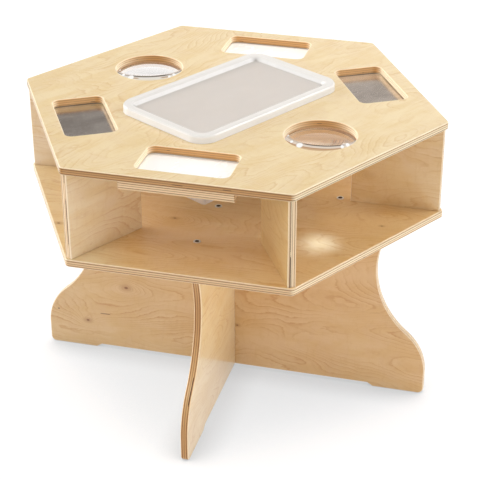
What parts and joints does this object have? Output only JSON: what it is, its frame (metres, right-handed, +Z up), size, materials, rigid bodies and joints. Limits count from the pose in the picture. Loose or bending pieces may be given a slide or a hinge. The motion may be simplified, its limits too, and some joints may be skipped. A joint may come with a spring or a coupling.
{
  "type": "hexagonal sand and water table",
  "caption": "Hexagonal plywood activity table: lift-out lidded tub in the middle, lenses, mirrors and white boards let into the top, open cubbies on a shelf, crossed wavy leg panels.",
  "frame": {"origin": "on the floor, under the centre of the hexagonal top", "axes": "+Z up, +X along the tub's long side, +Y square to it towards a lens side"},
  "size_m": [0.859, 0.7468, 0.637],
  "materials": {
    "birch_top": "clear glossy lacquer over rotary-cut birch plywood",
    "birch_shelf": "clear glossy lacquer over birch plywood",
    "birch_divider": "clear lacquer over birch plywood, laminations showing on the ends",
    "birch_leg": "clear glossy lacquer over birch plywood with pin knots",
    "birch_backing": "sealed plywood",
    "lens": "polished clear acrylic",
    "mirror": "polished acrylic mirror",
    "white_board": "smooth white laminate",
    "tub": "translucent milky polypropylene",
    "lid": "translucent milky polypropylene, smooth rim",
    "screw": "plated steel"
  },
  "bodies": {
    "table": {"top_panel": "birch_top", "bottom_shelf": "birch_shelf", "divider_1": "birch_divider", "divider_2": "birch_divider", "divider_3": "birch_divider", "divider_4": "birch_divider", "divider_5": "birch_divider", "divider_6": "birch_divider", "leg_panel_long": "birch_leg", "leg_panel_short": "birch_leg", "magnifier_lens_2": "lens", "magnifier_lens_5": "lens", "lens_retainer_2": "birch_backing", "lens_retainer_5": "birch_backing", "mirror_3": "mirror", "mirror_6": "mirror", "mirror_backing_3": "birch_backing", "mirror_backing_6": "birch_backing", "white_board_1": "white_board", "white_board_4": "white_board", "board_backing_1": "birch_backing", "board_backing_4": "birch_backing", "shelf_screw_short_1_in": "screw", "shelf_screw_short_1_out": "screw", "shelf_screw_short_4_in": "screw", "shelf_screw_short_4_out": "screw", "shelf_screw_long_3_in": "screw", "shelf_screw_long_3_out": "screw", "shelf_screw_long_6_in": "screw", "shelf_screw_long_6_out": "screw"},
    "tub_body": {"tub": "tub"},
    "lid_body": {"tub_lid": "lid"}
  },
  "joints": [
    {"name": "tub_lift", "type": "slide", "parent": "table", "child": "tub_body", "axis": [0, 0, 1], "range_m": [0, 0.18]},
    {"name": "lid_lift", "type": "slide", "parent": "tub_body", "child": "lid_body", "axis": [0, 0, 1], "range_m": [0, 0.12]}
  ]
}
